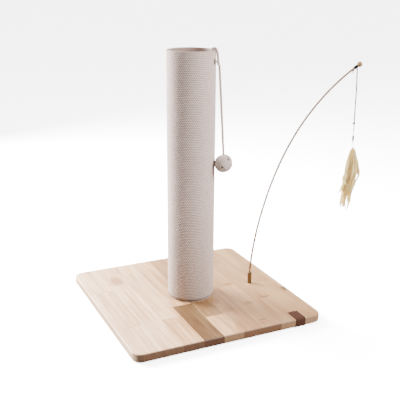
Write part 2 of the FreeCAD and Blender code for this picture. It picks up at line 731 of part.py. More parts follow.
def make_tassel(doc, size, top):
    """The raffia tassel as a spindle with five loose ends, and the winding round its head."""
    length = size["tassel_length"]
    widest = size["tassel_width"] / 2
    head = size["binding_diameter"] / 2
    # share of the length below the top, and share of the widest radius
    shape = [(0.11, 0.5), (0.22, 0.72), (0.38, 0.93), (0.5, 1.0), (0.58, 0.92), (0.72, 0.66), (0.88, 0.36), (1.0, 0.12)]
    neck = size["binding_length"] + 6
    corners = [(0, 0), (head * 0.5, 0), (head * 0.72, 3), (head * 0.72, neck)]
    corners += [(widest * out, length * down) for down, out in shape]
    corners += [(0, length)]
    outline = Part.makePolygon([top + Vector(x, 0, -z) for x, z in corners + corners[:1]])
    body = Part.Face(outline).revolve(top, UP, 360)
    # loose ends: reach sideways and thickness as shares of the widest radius, heights as shares of the length
    ends = [(-2.3, 0.6, 0.69, 0.23), (-2.0, 0.64, 0.83, 0.13), (-1.2, 0.65, 0.96, 0.15), (0.8, 0.65, 0.91, 0.14)]
    ends.append((1.6, 0.36, 0.44, 0.29))
    for reach, start, end, thick in ends:
        root = top + Vector(0, 0, -length * start)
        tip = top + Vector(widest * reach, 0, -length * end)
        along = tip - root
        body = body.fuse(Part.makeCone(widest * thick, widest * 0.035, along.Length, root, along))
    slot_width = size["snap_wire"] + 0.4
    slot_length = size["snap_width"] + 2
    slot = Part.makeBox(slot_width, slot_length, 2 * slot_width, top - Vector(slot_width / 2, slot_length / 2, slot_width))
    tassel = keep_shape(doc, "raffia_tassel", body.cut(slot).removeSplitter())
    neck_radius = head * 0.72
    low = top - UP * (neck - 2)
    ring = Part.makeCylinder(head, size["binding_length"], low)
    ring = ring.cut(Part.makeCylinder(neck_radius, size["binding_length"], low))
    binding = keep_shape(doc, "tassel_binding", ring)
    return [tassel, binding]


def check_and_write(doc, pieces):
    """Stop on any failed object or piece, then write one STEP file for each piece."""
    doc.recompute()
    for item in doc.Objects:
        if "Invalid" in item.State or "Error" in item.State:
            raise RuntimeError(f"{item.Label} failed: {item.State}")
    os.makedirs("parts", exist_ok=True)
    for piece in pieces:
        shape = piece.Shape
        if shape.isNull() or not shape.isValid() or not shape.Solids:
            raise RuntimeError(f"{piece.Label} has no valid solid")
        shape.exportStep(f"parts/{piece.Label}.step")
    print(len(pieces), "pieces written")


def main():
    doc = FreeCAD.newDocument("ScratchingPost")
    size = make_sheet(doc)
    pieces = make_staves(doc, size)
    pieces += make_pads(doc)
    pieces.append(make_tag(doc))
    pieces += make_post(doc, size)
    pieces += make_ball(doc, size)
    pieces += make_foot(doc)
    wand, pivots = make_wand(doc, size)
    line, hook = make_line(doc, size, pivots["line_swing"])
    swivel, pin_foot, tassel_top = make_swivel(doc, size, hook)
    pieces += wand + line + swivel
    pieces += make_tassel(doc, size, tassel_top)
    pivots["lure_sway"] = hook
    pivots["swivel_spin"] = pin_foot
    for name, point in pivots.items():
        print(name, [round(c, 3) for c in point])
    check_and_write(doc, pieces)


main()
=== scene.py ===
import math

import bpy
import numpy as np
from mathutils import Matrix, Vector


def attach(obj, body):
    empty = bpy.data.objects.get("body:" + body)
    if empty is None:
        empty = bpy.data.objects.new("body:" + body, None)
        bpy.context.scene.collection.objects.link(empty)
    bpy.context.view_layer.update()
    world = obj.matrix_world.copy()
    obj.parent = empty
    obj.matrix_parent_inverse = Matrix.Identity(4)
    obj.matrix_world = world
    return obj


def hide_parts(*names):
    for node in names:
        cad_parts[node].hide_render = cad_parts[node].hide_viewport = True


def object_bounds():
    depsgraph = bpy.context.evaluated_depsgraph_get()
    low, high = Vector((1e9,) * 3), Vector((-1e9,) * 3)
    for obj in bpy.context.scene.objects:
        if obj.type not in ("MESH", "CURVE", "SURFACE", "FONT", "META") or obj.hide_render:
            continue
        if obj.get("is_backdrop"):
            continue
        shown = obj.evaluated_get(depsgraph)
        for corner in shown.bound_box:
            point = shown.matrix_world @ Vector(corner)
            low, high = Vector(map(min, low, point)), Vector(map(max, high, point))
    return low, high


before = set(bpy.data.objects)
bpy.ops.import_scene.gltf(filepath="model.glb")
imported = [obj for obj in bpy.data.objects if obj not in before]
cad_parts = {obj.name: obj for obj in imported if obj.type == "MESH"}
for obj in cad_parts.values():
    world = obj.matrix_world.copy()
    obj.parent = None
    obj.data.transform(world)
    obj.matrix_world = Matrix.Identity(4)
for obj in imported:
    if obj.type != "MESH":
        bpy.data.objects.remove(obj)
cadBounds = [list(corner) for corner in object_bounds()]
mm = 0.001
print("stage: frame loaded")


# small helpers

def vec(*numbers):
    return np.array(numbers, float)


def unit(a):  # each vector over its own length
    return a / np.maximum(np.linalg.norm(a, axis=-1, keepdims=True), 1e-12)


def fullTurn(count):  # angles at even steps round a circle
    return np.arange(count) / count * 2 * np.pi


def polar(radius, angle):  # plane coordinates of points at these distances and angles
    return np.stack([radius * np.cos(angle), radius * np.sin(angle)], -1)


def turned(points, axis, degrees):  # points turned about an axis through the origin
    return points @ np.array(Matrix.Rotation(math.radians(degrees), 3, Vector(axis))).T


def outward(degrees):  # level direction away from the post's axis
    return vec(math.cos(math.radians(degrees)), math.sin(math.radians(degrees)), 0)


def aroundPost(radius, degrees, height):  # from the post's axis, azimuth and height, in mm, to metres
    a = math.radians(degrees)
    return vec(radius * math.cos(a), radius * math.sin(a), height) * mm


def paint(r, g, b):  # a colour as read off a screen, 0 to 255, to the shader's linear scale
    c = vec(r, g, b) / 255
    return [*np.where(c <= 0.04045, c / 12.92, ((c + 0.055) / 1.055) ** 2.4), 1.0]


def dimmed(colour, share):
    return [c * share for c in colour[:3]] + [1]


def makeObject(name, data):
    piece = bpy.data.objects.new(name, data)
    bpy.context.scene.collection.objects.link(piece)
    return piece


def gridSurface(points, uv=None, closed=False):
    # corners of a grid, rows along and columns around; a face joins each corner to the next row and column.
    # The first and last rows are capped or, on a closed ring, joined to each other
    rows, cols = points.shape[:2]
    i, j = np.meshgrid(np.arange(rows if closed else rows - 1), np.arange(cols), indexing="ij")
    corner = lambda a, b: (a % rows) * cols + b % cols
    quads = np.stack([corner(i, j), corner(i, j + 1), corner(i + 1, j + 1), corner(i + 1, j)], -1)
    uvAround, uvAlong = uv or (1 / cols, 1 / rows)
    around, along = np.stack([j, j + 1, j + 1, j], -1), np.stack([i, i, i + 1, i + 1], -1)
    loopUv = np.stack([around * uvAround, along * uvAlong], -1)
    ends = [] if closed else [np.arange(cols)[::-1], (rows - 1) * cols + np.arange(cols)]
    return points.reshape(-1, 3), quads.reshape(-1, 4), loopUv.reshape(-1, 2), ends


def meshPiece(name, surfaces):
    # one mesh from several surfaces; a shell whose signed volume is negative has its faces turned round
    verts, polys, uvs, base = [], [], [], 0
    for flat, quads, loopUv, ends in surfaces:
        a, b, c, d = (flat[quads[:, k]] for k in range(4))
        volume = np.einsum("ij,ij->", a, np.cross(b, c)) + np.einsum("ij,ij->", a, np.cross(c, d))
        if volume < 0:
            quads, loopUv = quads[:, ::-1], loopUv.reshape(-1, 4, 2)[:, ::-1].reshape(-1, 2)
            ends = [e[::-1] for e in ends]
        verts.append(flat)
        polys += (quads + base).tolist() + [(e + base).tolist() for e in ends]
        uvs.append(loopUv)
        uvs += [np.zeros((len(e), 2)) for e in ends]
        base += len(flat)
    mesh = bpy.data.meshes.new(name)
    mesh.from_pydata(np.concatenate(verts).tolist(), [], polys)
    layer = mesh.uv_layers.new(name="UVMap")
    layer.data.foreach_set("uv", np.concatenate(uvs).astype(np.float32).ravel())
    mesh.polygons.foreach_set("use_smooth", np.ones(len(mesh.polygons), bool))
    mesh.update()
    return makeObject(name, mesh)


def lineLength(path):
    return float(np.linalg.norm(np.diff(path, axis=0), axis=1).sum())


def evenly(path, step):  # points at even spacing along a line of points, and their distances along it
    length = np.concatenate([[0], np.cumsum(np.linalg.norm(np.diff(path, axis=0), axis=1))])
    at = np.linspace(0, length[-1], max(2, int(round(length[-1] / step)) + 1))
    return np.stack([np.interp(at, length, path[:, k]) for k in range(3)], 1), at


def carry(path, profile, reference, closed=False):
    # each point is the path's point plus profile x times the side direction plus profile y times the upward
    # one. Side is reference x tangent, upward is tangent x side. The profile may differ from row to row
    if closed:
        tangent = unit(np.roll(path, -1, 0) - np.roll(path, 1, 0))
    else:
        tangent = unit(np.gradient(path, axis=0))
    side = unit(np.cross(reference, tangent))
    upward = np.cross(tangent, side)
    profile = np.broadcast_to(profile, (len(path),) + profile.shape[-2:])
    return path[:, None] + profile[..., :1] * side[:, None] + profile[..., 1:] * upward[:, None]


def wire(path, radius, sides, reference):  # a round wire along a path
    return gridSurface(carry(path, polar(radius, fullTurn(sides)), reference))


def revolved(centre, axis, side, along, radius, sides):
    # a round outline: each row has its own distance along the axis and its own radius about it
    a = fullTurn(sides)
    around = np.outer(np.cos(a), side) + np.outer(np.sin(a), np.cross(axis, side))
    return gridSurface(centre + along[:, None, None] * axis + radius[:, None, None] * around)


def strandRadius(angle):
    # outline of three laid strands as a share of the rope's radius: the far side of the nearest strand's
    # circle, raised to a power below one so that the grooves are shallower
    middle, size, power = 0.48, 0.52, 0.8
    near = (angle + np.pi / 3) % (2 * np.pi / 3) - np.pi / 3
    return (middle * np.cos(near) + np.sqrt(size**2 - (middle * np.sin(near)) ** 2)) ** power


def laidRope(path, radius, lay, reference, sides=12, closed=False):
    # a rope of three strands: the strands' outline carried along the path, turning once in each lay length
    if closed:
        at = np.arange(len(path)) / len(path) * lay * round(lineLength(path) / lay)
    else:
        path, at = evenly(path, lay / 12)
    a = fullTurn(sides)[None]
    r = radius * strandRadius(a - at[:, None] / lay * 2 * np.pi)
    return gridSurface(carry(path, polar(r, a), reference, closed), (1 / sides, 1), closed)


def splineLine(name, points, radius=None, resolution=12):
    # a smooth curve with these control points; returns the object and the points along it, in metres
    curve = bpy.data.curves.new(name, "CURVE")
    curve.dimensions = "3D"
    spline = curve.splines.new("NURBS")
    spline.points.add(len(points) - 1)
    weighted = np.column_stack([points, np.ones(len(points))])
    spline.points.foreach_set("co", weighted.astype(np.float32).ravel())
    spline.order_u = 3
    spline.use_endpoint_u = True
    spline.resolution_u = resolution
    piece = makeObject(name, curve)
    bpy.context.view_layer.update()
    line = bpy.data.meshes.new_from_object(piece)
    co = np.zeros(len(line.vertices) * 3)
    line.vertices.foreach_get("co", co)
    bpy.data.meshes.remove(line)
    if radius:
        curve.bevel_depth = radius
        curve.bevel_resolution = 4
        curve.use_fill_caps = True
    return piece, co.reshape(-1, 3)


def guideLine(points, resolution=12):  # the points along a smooth curve, without the curve itself
    guide, line = splineLine("guide", points, resolution=resolution)
    bpy.data.objects.remove(guide)
    return line


def dress(piece, material, body=None, stands=()):
    # material, material slot, body and the CAD nodes that the piece stands for
    piece.data.materials.clear()
    piece.data.materials.append(material)
    if body:
        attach(piece, body)
    if stands:
        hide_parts(*stands)


# the camera, with the photograph's own viewing angle

cameraValues = {"place": (-0.64113, -1.39977, 0.7455), "yaw": 25.394, "pitch": 17.754, "roll": 0.390,
                "lens": 63.27, "sensor": 36}


def makeCamera(v):
    yaw, pitch, roll = (math.radians(v[k]) for k in ("yaw", "pitch", "roll"))
    forward = vec(math.sin(yaw) * math.cos(pitch), math.cos(yaw) * math.cos(pitch), -math.sin(pitch))
    right = vec(math.cos(yaw), -math.sin(yaw), 0)
    up = np.cross(right, forward)
    right, up = right * math.cos(roll) + up * math.sin(roll), up * math.cos(roll) - right * math.sin(roll)
    data = bpy.data.cameras.new("camera")
    data.lens = v["lens"]
    data.sensor_width = v["sensor"]
    data.sensor_fit = "HORIZONTAL"
    data.clip_start, data.clip_end = 0.05, 100
    camera = makeObject("camera", data)
    world = Matrix.Identity(4)
    for k, column in enumerate((right, up, -forward, vec(*v["place"]))):
        for row in range(3):
            world[row][k] = column[row]
    camera.matrix_world = world
    bpy.context.scene.camera = camera


makeCamera(cameraValues)
print("stage: camera")


# materials: a small kit for node trees

class Tree:
    def __init__(self, name):
        self.material = bpy.data.materials.new(name)
        self.material.use_nodes = True
        self.nodes = self.material.node_tree.nodes
        self.links = self.material.node_tree.links
        self.shader = self.nodes["Principled BSDF"]

    def add(self, kind, settings=None, **inputs):  # a node, its settings, and its inputs as values or links
        node = self.nodes.new(kind)
        for name, value in (settings or {}).items():
            setattr(node, name, value)
        for name, value in inputs.items():
            byNumber = name[0] == "i" and name[1:].isdigit()
            self.put(node, int(name[1:]) if byNumber else name.replace("_", " "), value)
        return node

    def put(self, node, socket, value):
        if isinstance(value, bpy.types.NodeSocket):
            self.links.new(value, node.inputs[socket])
        else:
            node.inputs[socket].default_value = value

    def math(self, operation, a, b=0.0, c=0.0):
        return self.add("ShaderNodeMath", {"operation": operation}, i0=a, i1=b, i2=c).outputs[0]

    def offMiddle(self, value):  # how far a value from 0 to 1 lies from 0.5
        return self.math("ABSOLUTE", self.math("SUBTRACT", value, 0.5))

    def scaled(self, vector, sx, sy, sz, move=(0, 0, 0)):
        node = self.add("ShaderNodeMapping", Vector=vector, Scale=(sx, sy, sz), Location=move)
        return node.outputs["Vector"]

    def scaledSum(self, a, b, c):  # the vector a times b plus c
        return self.add("ShaderNodeVectorMath", {"operation": "MULTIPLY_ADD"}, i0=a, i1=b, i2=c).outputs[0]

    def noise(self, vector, detail=3.0, rough=0.55, warp=0.0):
        node = self.add("ShaderNodeTexNoise", Vector=vector, Scale=1.0, Detail=detail, Roughness=rough,
                        Distortion=warp)
        return node.outputs["Fac"]

    def rings(self, vector, direction, **inputs):
        settings = {"wave_type": "RINGS", "rings_direction": direction}
        return self.add("ShaderNodeTexWave", settings, Vector=vector, **inputs).outputs["Fac"]

    def ramp(self, value, stops, kind="LINEAR"):
        node = self.add("ShaderNodeValToRGB", Fac=value)
        node.color_ramp.interpolation = kind
        while len(node.color_ramp.elements) < len(stops):
            node.color_ramp.elements.new(0.5)
        for element, (place, colour) in zip(node.color_ramp.elements, stops):
            element.position = place
            element.color = colour if hasattr(colour, "__len__") else (colour, colour, colour, 1)
        return node.outputs["Color"]

    def spread(self, value, first, last, start, end, kind="LINEAR"):  # first becomes start, last becomes end
        node = self.add("ShaderNodeMapRange", {"interpolation_type": kind}, Value=value)
        for socket, number in enumerate((first, last, start, end), 1):
            node.inputs[socket].default_value = number
        return node.outputs[0]

    def mix(self, share, a, b, blend="MIX"):
        node = self.add("ShaderNodeMix", {"data_type": "RGBA", "blend_type": blend})
        self.put(node, 0, share)
        self.put(node, 6, a)
        self.put(node, 7, b)
        return node.outputs[2]

    def bump(self, height, strength, distance):
        node = self.add("ShaderNodeBump", Height=height, Strength=strength, Distance=distance)
        return node.outputs["Normal"]

    def where(self):
        return self.add("ShaderNodeTexCoord").outputs["Object"]

    def uv(self):
        return self.add("ShaderNodeTexCoord").outputs["UV"]

    def geometry(self, name):
        return self.add("ShaderNodeNewGeometry").outputs[name]

    def axis(self, vector, letter):
        return self.add("ShaderNodeSeparateXYZ", Vector=vector).outputs[letter]

    def finish(self, **inputs):
        for name, value in inputs.items():
            self.put(self.shader, name.replace("_", " "), value)
        return self.material


def makeCotton(name, low, high, flankShade=0.0):
    # twisted cotton: uneven unbleached colour, painted shade in the lay's grooves, with fine fibre bumps and
    # a soft sheen. The UV map's x is the angle round the rope, 0.5 where it faces outwards; a share of
    # painted shade darkens its sides
    t = Tree(name)
    at = t.where()
    cloud = t.noise(t.scaled(at, 45, 45, 45), detail=4)
    fibre = t.noise(t.scaled(at, 1500, 1500, 2400), detail=4, rough=0.7)
    colour = t.mix(cloud, low, high)
    colour = t.mix(t.math("MULTIPLY", fibre, 0.35), colour, dimmed(high, 0.72))
    # painted shade: darker where the surface is hollow, in the grooves between strands
    grooveShade = t.ramp(t.geometry("Pointiness"), [(0.42, 0.62), (0.5, 1.0)])
    colour = t.mix(1.0, colour, grooveShade, "MULTIPLY")
    # painted shade on each strand's sides, away from where it faces outwards
    if flankShade:
        side = t.ramp(t.offMiddle(t.axis(t.uv(), "X")), [(0.09, 0.0), (0.2, 1.0)])
        colour = t.mix(t.math("MULTIPLY", side, flankShade), colour, paint(118, 90, 78))
    return t.finish(Base_Color=colour, Roughness=0.92, Sheen_Weight=0.35, Sheen_Roughness=0.5,
                    Normal=t.bump(fibre, 0.5, 0.0004))


def makeCard(name):
    # spiral-wound brown board: fibres round the tube, and flecks
    t = Tree(name)
    at = t.where()
    fibre = t.noise(t.scaled(at, 260, 260, 900), detail=5, rough=0.65)
    fleck = t.noise(t.scaled(at, 700, 700, 500), detail=2)
    colour = t.mix(fibre, paint(134, 110, 98), paint(178, 154, 142))
    colour = t.mix(t.ramp(fleck, [(0.62, 0.0), (0.7, 0.5)]), colour, paint(110, 88, 72))
    return t.finish(Base_Color=colour, Roughness=0.85, Normal=t.bump(fibre, 0.3, 0.0005))


def makePlain(name, colour, second, roughness, metallic=0.0, grain=(900, 900, 900), bump=0.15, coat=0.0):
    # a finish that wanders between two colours, with a fine grain along one direction
    t = Tree(name)
    at = t.where()
    cloud = t.noise(t.scaled(at, 60, 60, 60), detail=3)
    fine = t.noise(t.scaled(at, *grain), detail=4, rough=0.7)
    share = t.math("ADD", t.math("MULTIPLY", cloud, 0.5), t.math("MULTIPLY", fine, 0.5))
    rough = t.spread(fine, 0, 1, roughness * 0.8, min(1.0, roughness * 1.2))
    return t.finish(Base_Color=t.mix(share, second, colour), Roughness=rough, Metallic=metallic,
                    Coat_Weight=coat, Normal=t.bump(fine, bump, 0.0003))


def makeLeather(name):
    # dyed leather: pebbled grain, darker in its creases, worn lighter at the folds
    t = Tree(name)
    at = t.where()
    pebble = t.add("ShaderNodeTexVoronoi", Vector=t.scaled(at, 900, 900, 900), Scale=1.0).outputs["Distance"]
    cloud = t.noise(t.scaled(at, 120, 120, 120), detail=4)
    colour = t.mix(cloud, paint(40, 20, 14), paint(64, 36, 27))
    edge = t.ramp(t.geometry("Pointiness"), [(0.5, 0.0), (0.6, 0.6)])
    colour = t.mix(edge, colour, paint(90, 58, 44))
    return t.finish(Base_Color=colour, Roughness=0.8, Specular_IOR_Level=0.15,
                    Normal=t.bump(pebble, 0.35, 0.0004))


# the board's wood

# the wood's tones, which differ from stave to stave; the pale and cream tones of the staves on the left also
# hold a painted reflection of the back-left light, and the light and mid tones on the right are darker as
# painted shade where that light falls off
woodTones = {"pale": (252, 212, 172), "cream": (242, 200, 156), "straw": (228, 184, 138),
             "light": (186, 145, 101), "mid": (194, 150, 108), "tan": (166, 130, 92), "brown": (120, 92, 58)}
greyEnd, paleEnd = (124, 90, 65), (178, 138, 104)  # the tones of end grain that several staves share
staveValues = {  # blocks from the back edge to the front one, where they meet in mm, the end's tone, the
    # streaks' strength, and marks: middle, half width and half length in mm, and depth of colour
    # the marks are the wood's own, except the first one of base_stave_5, which is painted shade
    "edge_strip_left": {"blocks": ["pale"], "joins": [], "end": greyEnd, "streak": 0.9},
    "base_stave_1": {"blocks": ["pale", "cream", "pale"], "joins": [84, -106], "end": greyEnd, "streak": 1.1},
    "base_stave_2": {"blocks": ["cream", "pale"], "joins": [110], "end": greyEnd, "streak": 1.1,
                     "marksAndShade": [
        (-140, 134, 17, 28, 0.9), (-139, 8, 1.6, 26, 0.7), (-128, -70, 2, 40, 0.5),
        (-152, -20, 1.5, 30, 0.5)]},
    "base_stave_3": {"blocks": ["cream", "straw"], "joins": [-104], "end": (116, 82, 59), "streak": 1.1,
                     "marksAndShade": [
        (-108, -165, 1.8, 50, 0.6), (-84, -150, 2.2, 60, 0.6), (-99, 150, 2, 30, 0.5)]},
    "base_stave_4": {"blocks": ["straw", "brown"], "joins": [-55], "end": (102, 67, 46), "streak": 1.5,
                     "marksAndShade": [
        (-64, 120, 1.6, 70, 1.0), (-60, 60, 1.3, 40, 0.7), (-64, -100, 5, 40, 1.0), (-64, -170, 4, 36, 0.9),
        (-46, -80, 6, 26, 0.6), (-40, -190, 2, 20, 0.6)]},
    "base_stave_5": {"blocks": ["light", "tan", "straw"], "joins": [20, -132], "end": (164, 126, 90),
                     "streak": 1.2, "marksAndShade": [
        # the first of these is painted shade on the board in front of the post's foot
        (-2, -72, 24, 22, 0.5), (-16, -104, 5, 26, 0.7), (-12, -160, 3, 22, 0.4)]},
    "base_stave_6": {"blocks": ["light", "mid"], "joins": [10], "end": (132, 92, 64), "streak": 0.8,
                     "marksAndShade": [
        (34, -62, 14, 20, 0.5), (40, -118, 16, 14, 0.4)]},
    "base_stave_7": {"blocks": ["light", "mid"], "joins": [-6], "end": (130, 92, 64), "streak": 0.8,
                     "marksAndShade": [
        (104, 5, 13, 7, 0.8), (101, -106, 12, 9, 0.6), (88, -192, 11, 4, 0.8), (82, -204, 4, 2.5, 0.8),
        (95, 60, 2, 40, 0.5)]},
    "base_stave_8": {"blocks": ["light", "mid"], "joins": [-98], "end": (170, 130, 94), "streak": 0.8,
                     "marksAndShade": [
        (150, -93, 14, 4.5, 0.9), (142, 142, 14, 9, 0.4)]},
    "base_stave_9": {"blocks": ["light", "light"], "joins": [-16], "end": paleEnd, "streak": 0.7},
    "edge_strip_right": {"blocks": ["light", "brown", "light"], "joins": [-63, -86], "end": paleEnd,
                         "streak": 0.6},
}
boardScale = 0.46  # metres that the blocks' ramp covers, a little more than the board


def layGrain(t, base, moved, strength):
    # broad clouds, long streaks, thin lines, arched growth lines and short dark pores over the base colour
    clouds = t.noise(t.scaled(moved, 26, 6, 26), detail=3, warp=0.6)
    streaks = t.noise(t.scaled(moved, 76, 3.6, 76), detail=5, rough=0.62, warp=0.9)
    lines = t.ramp(t.noise(t.scaled(moved, 230, 4.5, 230), detail=3, rough=0.6), [(0.56, 0.0), (0.68, 1.0)])
    arches = t.rings(t.scaled(moved, 46, 5.5, 46), "SPHERICAL", Scale=1.5, Distortion=4.0, Detail=2.0,
                     Detail_Scale=1.0)
    pores = t.ramp(t.noise(t.scaled(moved, 1300, 62, 1300), detail=2, rough=0.5), [(0.58, 0.0), (0.68, 1.0)])
    dark = t.mix(1.0, base, (0.60, 0.46, 0.33, 1), "MULTIPLY")
    light = t.mix(1.0, base, (1.14, 1.16, 1.18, 1), "MULTIPLY")
    colour = t.mix(t.ramp(clouds, [(0.38, 0.9), (0.52, 0.0)]), base, t.mix(0.5 * strength, base, dark))
    colour = t.mix(t.ramp(clouds, [(0.52, 0.0), (0.68, 0.7)]), colour, light)
    colour = t.mix(t.ramp(streaks, [(0.36, 0.8 * strength), (0.52, 0.0)]), colour, dark)
    colour = t.mix(t.ramp(streaks, [(0.54, 0.0), (0.68, 0.5)]), colour, light)
    for pattern, depth in ((lines, 0.52 * strength), (arches, 0.34 * strength), (pores, 0.4)):
        colour = t.mix(t.math("MULTIPLY", pattern, depth), colour, dark)
    return colour, dark, streaks, pores


def addMarkAndShade(t, colour, at, streaks, dark, markAndShade):
    # a brown patch that fades with the distance from its middle in half sizes; the streaks ruffle its edge.
    # Most patches are the wood's own marks, and one is painted shade in front of the post's foot
    x, y, halfWidth, halfLength, depth = markAndShade
    middle = (-x / halfWidth - 0.45, -y / halfLength - 0.45, 0)
    local = t.scaled(at, 1 / halfWidth / mm, 1 / halfLength / mm, 0, move=middle)
    ragged = t.scaledSum(streaks, (0.9, 0.9, 0), local)
    away = t.add("ShaderNodeVectorMath", {"operation": "LENGTH"}, i0=ragged).outputs["Value"]
    spot = t.spread(away, 1.25, 0.5, 0.0, depth * 0.9, "SMOOTHSTEP")
    return t.mix(spot, colour, t.mix(0.4, dark, paint(112, 76, 46)))


def endGrain(t, at, moved, tone, number):
    # fine dark rays and growth arcs across the stave's end
    rays = t.noise(t.scaled(moved, 520, 520, 46), detail=4, rough=0.7)
    arcs = t.rings(t.scaled(at, 60, 60, 60, move=(number * 1.3 - 4, 0, 1.1)), "Y", Scale=1.4, Distortion=1.6)
    colour = t.mix(t.ramp(rays, [(0.4, 0.55), (0.62, 0.0)]), tone, dimmed(tone, 0.55))
    return t.mix(t.math("MULTIPLY", arcs, 0.35), colour, dimmed(tone, 0.6))


def makeStave(name, v, number):
    # lacquered light wood. Each block has its own tone and its own place in the grain, with a thin dark line
    # where it meets the next one. Faces that look along Y show end grain
    t = Tree("wood_" + name)
    at = t.where()
    along = t.math("MULTIPLY_ADD", t.axis(at, "Y"), 1 / boardScale, 0.5)  # grows from front to back
    joins = [0.5 + j * mm / boardScale for j in v["joins"]][::-1]
    tones = [paint(*woodTones[b]) for b in v["blocks"]][::-1]
    base = t.ramp(along, list(zip([0.0] + joins, tones)), "CONSTANT")
    offset = t.ramp(along, [(p, 0.1 + 0.27 * k) for k, p in enumerate([0.0] + joins)], "CONSTANT")
    start = (number * 0.37, number * 0.71, number * 0.13)
    moved = t.scaled(t.scaledSum(offset, (3, 2, 1), at), 1, 1, 1, move=start)
    colour, dark, streaks, pores = layGrain(t, base, moved, v["streak"])
    for markAndShade in v.get("marksAndShade", []):
        colour = addMarkAndShade(t, colour, at, streaks, dark, markAndShade)
    facing = t.ramp(t.math("ABSOLUTE", t.axis(t.geometry("Normal"), "Y")), [(0.55, 0.0), (0.8, 1.0)])
    colour = t.mix(facing, colour, endGrain(t, at, moved, paint(*v["end"]), number))
    if joins:
        half = 0.0016
        stops = [stop for p in joins for stop in ((p - half, 0.0), (p, 1.0), (p + half, 0.0))]
        seam = t.ramp(along, [(0.0, 0.0)] + stops)
        colour = t.mix(t.math("MULTIPLY", seam, 0.5), colour, paint(150, 104, 70))
    height = t.math("ADD", t.math("MULTIPLY", pores, -0.6), t.math("MULTIPLY", streaks, 0.5))
    return t.finish(Base_Color=colour, Roughness=0.45, Specular_IOR_Level=0.35, Coat_Weight=0.22,
                    Coat_Roughness=0.3, Normal=t.bump(height, 0.12, 0.0003))


for number, (name, v) in enumerate(staveValues.items()):
    dress(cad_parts[name], makeStave(name, v, number))
print("stage: board")


# finishes of the other pieces

finishes = {
    "ballCotton": makeCotton("ball_rope", paint(228, 204, 192), paint(248, 231, 222), flankShade=0.8),
    "cord": makeCotton("cord_rope", paint(184, 156, 140), paint(214, 190, 175)),
    "card": makeCard("kraft_board"),
    "brass": makePlain("aged_brass", paint(136, 116, 88), paint(86, 70, 50), 0.42, 1.0, (1200, 1200, 60)),
    "bush": makePlain("turned_brass", paint(200, 160, 100), paint(160, 118, 66), 0.3, 1.0, (200, 200, 1500)),
    "steel": makePlain("zinc_steel", paint(190, 190, 190), paint(140, 140, 142), 0.38, 1.0),
    "bright": makePlain("bright_wire", paint(170, 168, 166), paint(130, 128, 126), 0.22, 1.0, bump=0.05),
    "black": makePlain("black_nickel", paint(20, 20, 22), paint(8, 8, 10), 0.5, bump=0.08),
    "rubber": makePlain("pad_rubber", paint(62, 62, 62), paint(34, 34, 34), 0.8),
    "plug": makePlain("sawn_wood", paint(206, 172, 134), paint(150, 114, 80), 0.8, 0.0, (60, 700, 700), 0.4),
    "rod": makePlain("rod_wood", paint(134, 90, 52), paint(92, 58, 32), 0.5, 0.0, (160, 1600, 160), 0.25,
                     coat=0.1),
    "bead": makePlain("bead_wood", paint(168, 130, 78), paint(122, 88, 46), 0.5, 0.0, (240, 1500, 500), 0.25,
                      coat=0.1),
    "thread": makePlain("waxed_thread", paint(16, 15, 17), paint(6, 6, 7), 0.75, 0.0, (3000, 3000, 3000),
                        bump=0.5),
    "nylon": makePlain("clear_line", paint(120, 118, 116), paint(90, 88, 86), 0.35),
    "cutEdge": makePlain("cut_edge", paint(150, 130, 108), paint(108, 90, 72), 0.9, bump=0.6),
    "leather": makeLeather("brown_leather"),
}
keptNodes = {  # the pieces that stay as the CAD has them
    "brass": ["ferrule"], "bush": ["socket_bush"], "steel": ["plug_screws", "tube_nails"],
    "rubber": [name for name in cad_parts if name.startswith("foot_pad")],
    "plug": ["bottom_plug", "ball_core"], "card": ["core_tube"], "leather": ["leather_tag"],
    "bright": ["line_ring", "swivel_pin", "snap_wire"], "black": ["swivel_barrel"],
}
for finish, names in keptNodes.items():
    for name in names:
        dress(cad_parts[name], finishes[finish])
print("stage: kept nodes finished")


# the cord that carries the ball

cordAzimuth = -38
cordValues = {
    "radius": 2.8, "lay": 11.0,
    "route": [(62.4, cordAzimuth, 561.5), (69.0, cordAzimuth, 458.9), (74.9, cordAzimuth, 356.4)],
    "loop": [(59.6, cordAzimuth, 568.6), (58.6, cordAzimuth, 597.2), (43.4, -39, 597.2), (43.4, -46.5, 569.2),
             (57.2, -46.5, 570), (60.2, -43.7, 568.8), (61.0, -41.4, 566.6)],
    "knot": {"place": (60.4, cordAzimuth, 565), "size": 1.2, "radius": 1.7},
    "hole": {"place": (54.5, -46.5, 570.0), "halfWidth": 3.7, "halfHeight": 4.9, "lip": 1.15},
}
ballPlace = aroundPost(74.9, cordAzimuth, 344.2)  # the cord and the ball hang a little away from the post


def makeBallCord(v):
    # a laid rope carried along a smooth line through the route's points
    route = np.array([aroundPost(*place) for place in v["route"]])
    line = guideLine(route, resolution=40)
    piece = meshPiece("ballCord", [laidRope(line, v["radius"] * mm, v["lay"] * mm, vec(0.616, 0.788, 0))])
    dress(piece, finishes["cord"], "ball", ["ball_cord"])


def makeWallLoop(v):
    # the cord over the rim, down the inside and out through its hole
    line = guideLine(np.array([aroundPost(*place) for place in v["loop"]]), resolution=24)
    piece = meshPiece("wallLoop", [laidRope(line, v["radius"] * mm, v["lay"] * mm, vec(0.669, 0.743, 0))])
    dress(piece, finishes["cord"], "root", ["wall_loop"])


def makeCordKnot(v, knot):
    # an overhand knot: the line that winds three times through a ring and twice round it, flat to the post
    t = fullTurn(120)
    ring = 2.0 + np.cos(3 * t)
    out, sideways = outward(cordAzimuth), outward(cordAzimuth + 90)
    turns = np.outer(ring * np.cos(2 * t), sideways) + np.outer(ring * np.sin(2 * t), vec(0, 0, 1))
    path = aroundPost(*knot["place"]) + knot["size"] * mm * (turns + np.outer(np.sin(3 * t), out))
    piece = meshPiece("cordKnot", [laidRope(path, knot["radius"] * mm, v["lay"] * mm, out, closed=True)])
    dress(piece, finishes["cord"], "knot", ["cord_knot"])


